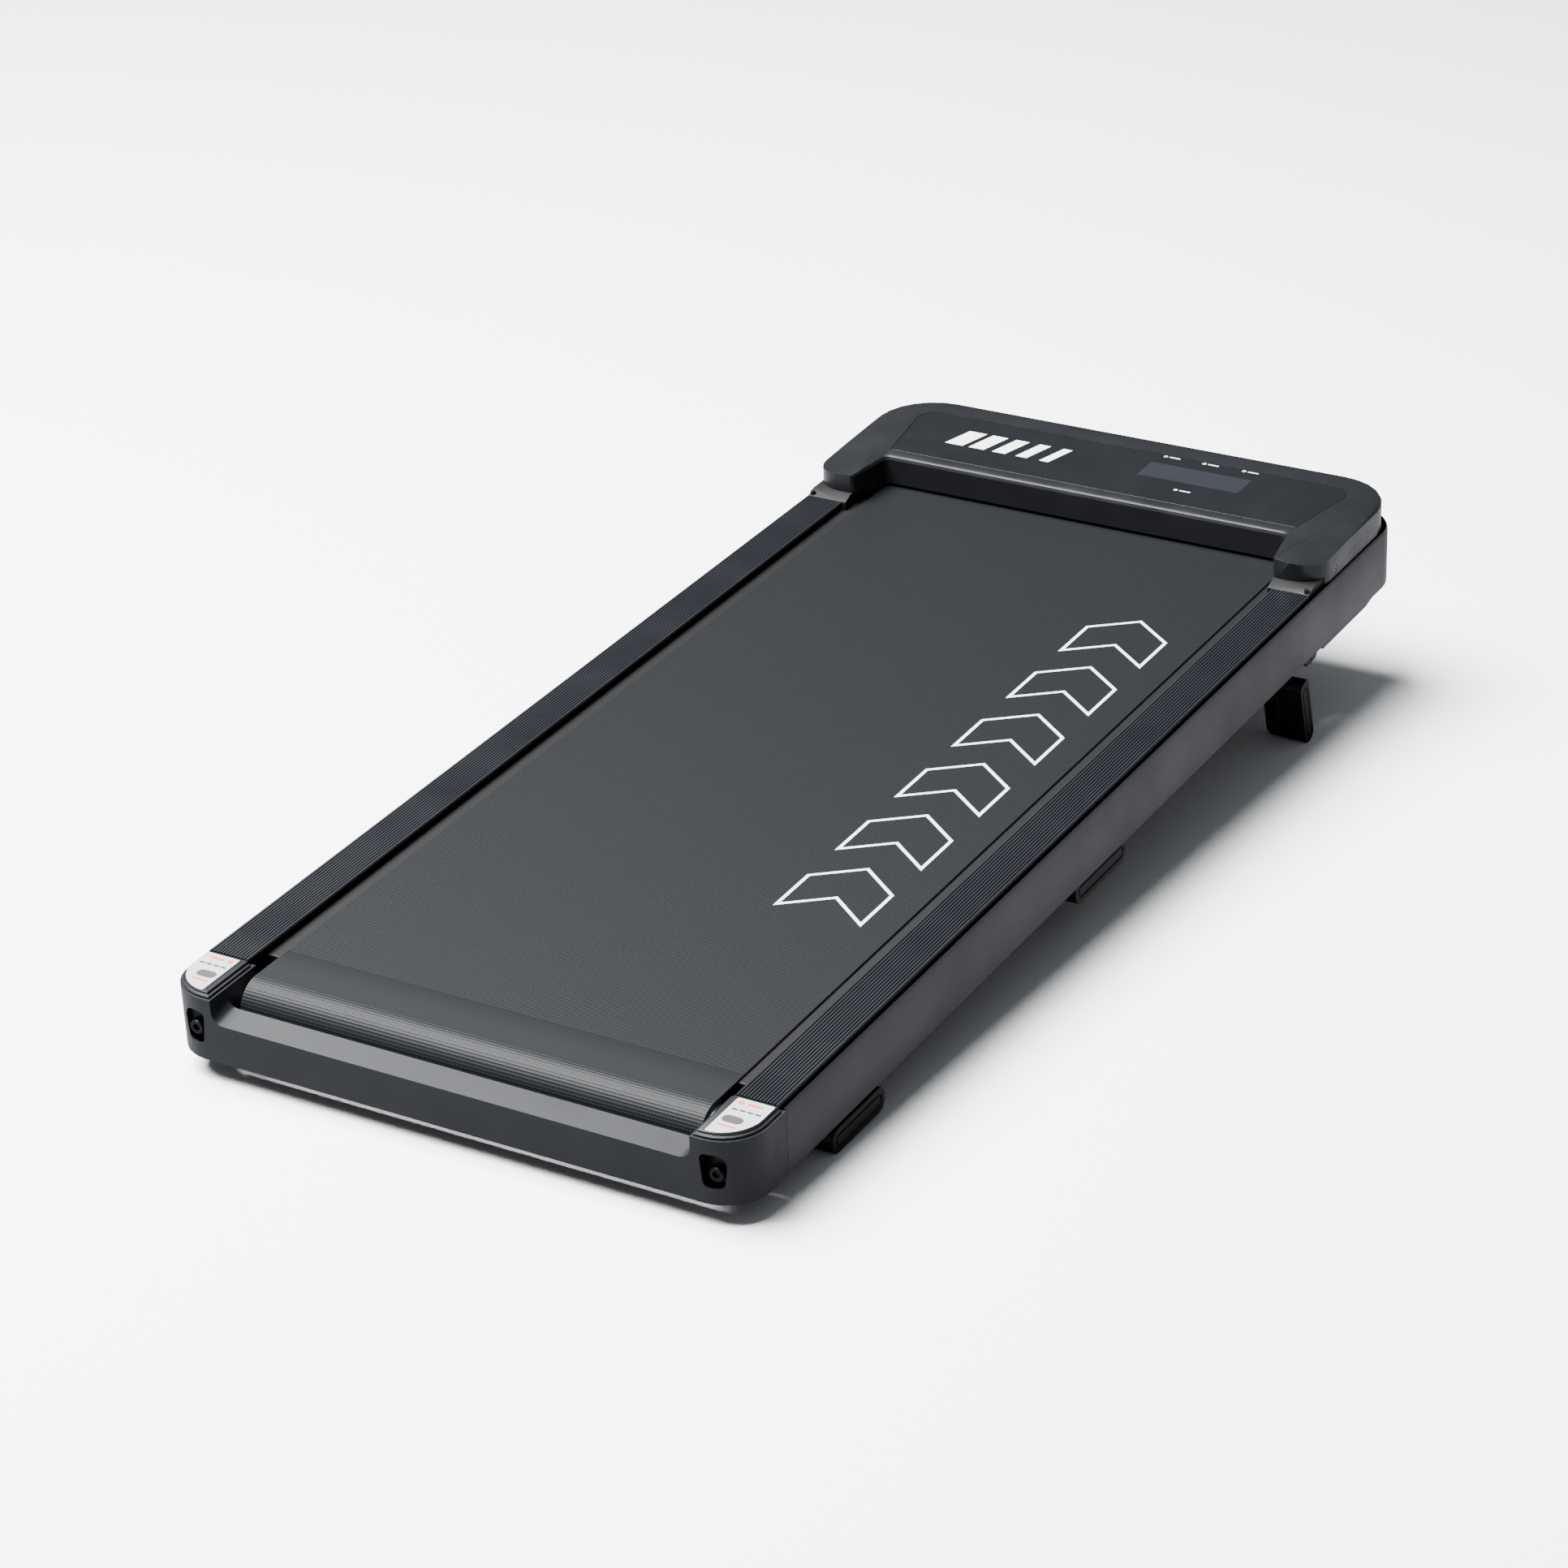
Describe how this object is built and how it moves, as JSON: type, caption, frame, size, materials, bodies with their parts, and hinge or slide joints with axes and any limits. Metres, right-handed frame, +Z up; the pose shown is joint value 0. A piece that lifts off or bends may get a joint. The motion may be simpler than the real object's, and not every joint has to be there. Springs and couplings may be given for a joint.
{
  "type": "walking treadmill",
  "caption": "Low walking treadmill with a belt deck between ribbed foot rails, a flat motor hood and incline feet that fold down under its front",
  "frame": {"origin": "on the floor under the centre of the machine's bounding box, standing on its rear feet and its unfolded incline feet", "axes": "+Y towards the motor hood, +X to the right of a walker who faces the hood, +Z up"},
  "size_m": [0.515, 1.188, 0.1883],
  "materials": {
    "bare_aluminium": "as extruded",
    "belt_rubber": "woven diamond texture",
    "board_green": "solder resist",
    "coated_metal": "powder coat",
    "deck_wood": "sealed board",
    "foot_rubber": "matt",
    "label_grey": "printed film",
    "moulded_black": "fine spark texture",
    "moulded_charcoal": "fine spark texture",
    "panel_gloss": "smooth",
    "zinc_steel": "zinc plated"
  },
  "bodies": {
    "chassis": {"axle_bracket_left": "zinc_steel", "axle_bracket_right": "zinc_steel", "bottom_pan": "moulded_black", "controller": "bare_aluminium", "corner_cap_left": "moulded_charcoal", "corner_cap_right": "moulded_charcoal", "cross_member_front": "coated_metal", "cross_member_middle": "coated_metal", "cross_member_rear": "coated_metal", "deck_board": "deck_wood", "deck_cushion_left": "foot_rubber", "deck_cushion_right": "foot_rubber", "display_board": "board_green", "display_panel": "panel_gloss", "drive_belt": "belt_rubber", "foot_bracket_left": "coated_metal", "foot_bracket_right": "coated_metal", "foot_rail_left": "coated_metal", "foot_rail_right": "coated_metal", "frame_rail_left": "coated_metal", "frame_rail_right": "coated_metal", "front_axle": "zinc_steel", "front_frame_left": "coated_metal", "front_frame_right": "coated_metal", "front_panel": "moulded_charcoal", "hood_cover": "moulded_black", "hood_screw_left": "zinc_steel", "hood_screw_right": "zinc_steel", "label_plate_left": "label_grey", "label_plate_right": "label_grey", "middle_foot_left": "foot_rubber", "middle_foot_right": "foot_rubber", "motor_body": "coated_metal", "motor_plate": "coated_metal", "power_inlet": "moulded_black", "rail_end_block_left": "moulded_black", "rail_end_block_right": "moulded_black", "rear_axle": "zinc_steel", "rear_cover": "moulded_charcoal", "rear_foot_left": "foot_rubber", "rear_foot_right": "foot_rubber", "side_cover_left": "coated_metal", "side_cover_right": "coated_metal", "switch_housing": "moulded_black", "walking_belt": "belt_rubber", "wheel_fork_left": "coated_metal", "wheel_fork_right": "coated_metal"},
    "front_roller_set": {"front_roller": "zinc_steel", "roller_pulley": "moulded_black"},
    "rear_roller_set": {"rear_roller": "zinc_steel"},
    "motor_rotor": {"motor_pulley": "zinc_steel"},
    "rocker": {"rocker_switch": "moulded_black"},
    "breaker": {"breaker_button": "moulded_black"},
    "incline_left": {"incline_foot_left": "foot_rubber"},
    "wheel_left": {"transport_wheel_left": "foot_rubber"},
    "bolt_left": {"tension_bolt_left": "zinc_steel"},
    "incline_right": {"incline_foot_right": "foot_rubber"},
    "wheel_right": {"transport_wheel_right": "foot_rubber"},
    "bolt_right": {"tension_bolt_right": "zinc_steel"}
  },
  "joints": [
    {"name": "front_roller_turn", "type": "hinge", "parent": "chassis", "child": "front_roller_set", "pos_m": [0, 0.45703, 0.12397], "axis": [1, 0, 0], "continuous": true},
    {"name": "rear_roller_turn", "type": "hinge", "parent": "chassis", "child": "rear_roller_set", "pos_m": [0, -0.54327, 0.05038], "axis": [1, 0, 0], "continuous": true},
    {"name": "motor_turn", "type": "hinge", "parent": "chassis", "child": "motor_rotor", "pos_m": [0, 0.53103, 0.14034], "axis": [1, 0, 0], "continuous": true},
    {"name": "rocker_tilt", "type": "hinge", "parent": "chassis", "child": "rocker", "pos_m": [0.108, 0.58726, 0.13245], "axis": [0, -0.0734, 0.9973], "range_deg": [-16, 0]},
    {"name": "breaker_press", "type": "slide", "parent": "chassis", "child": "breaker", "axis": [0, -0.9973, -0.0734], "range_m": [0, 0.0015], "stiffness_N_per_m": 400},
    {"name": "incline_fold_left", "type": "hinge", "parent": "chassis", "child": "incline_left", "pos_m": [-0.232, 0.39116, 0.07892], "axis": [-1, 0, 0], "range_deg": [0, 103.4]},
    {"name": "wheel_turn_left", "type": "hinge", "parent": "chassis", "child": "wheel_left", "pos_m": [-0.232, 0.43131, 0.07836], "axis": [1, 0, 0], "continuous": true},
    {"name": "tension_bolt_turn_left", "type": "hinge", "parent": "chassis", "child": "bolt_left", "pos_m": [-0.2305, -0.58279, 0.04246], "axis": [0, 0.9973, 0.0734], "continuous": true},
    {"name": "incline_fold_right", "type": "hinge", "parent": "chassis", "child": "incline_right", "pos_m": [0.232, 0.39116, 0.07892], "axis": [-1, 0, 0], "range_deg": [0, 103.4]},
    {"name": "wheel_turn_right", "type": "hinge", "parent": "chassis", "child": "wheel_right", "pos_m": [0.232, 0.43131, 0.07836], "axis": [1, 0, 0], "continuous": true},
    {"name": "tension_bolt_turn_right", "type": "hinge", "parent": "chassis", "child": "bolt_right", "pos_m": [0.2305, -0.58279, 0.04246], "axis": [0, 0.9973, 0.0734], "continuous": true}
  ],
  "couplings": [
    {"joint": "rear_roller_turn", "follows": "front_roller_turn", "ratio": 1},
    {"joint": "motor_turn", "follows": "front_roller_turn", "ratio": 1.9483}
  ]
}
